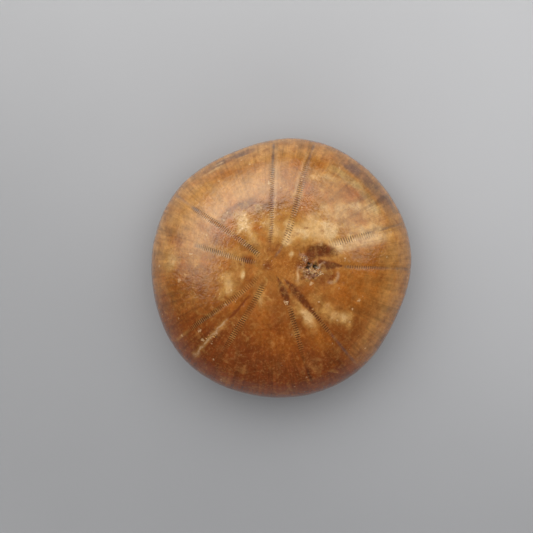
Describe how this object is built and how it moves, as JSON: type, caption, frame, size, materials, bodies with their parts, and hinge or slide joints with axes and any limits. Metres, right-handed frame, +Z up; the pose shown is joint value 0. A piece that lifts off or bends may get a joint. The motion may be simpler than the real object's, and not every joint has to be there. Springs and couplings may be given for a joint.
{
  "type": "sand dollar",
  "caption": "Polished fossil sand dollar: a low domed sea-urchin test of brown stone with a five-petal pore pattern and a hollowed underside.",
  "frame": {"origin": "on the plane it rests on, below the middle of its outline", "axes": "+Z up through the dome, +Y to the front of the animal, along the front petal"},
  "size_m": [0.038, 0.037, 0.016],
  "materials": {
    "fossil_stone": "polished, mottled amber and brown with cream patches"
  },
  "bodies": {
    "root": {"sand_dollar": "fossil_stone"}
  },
  "joints": []
}
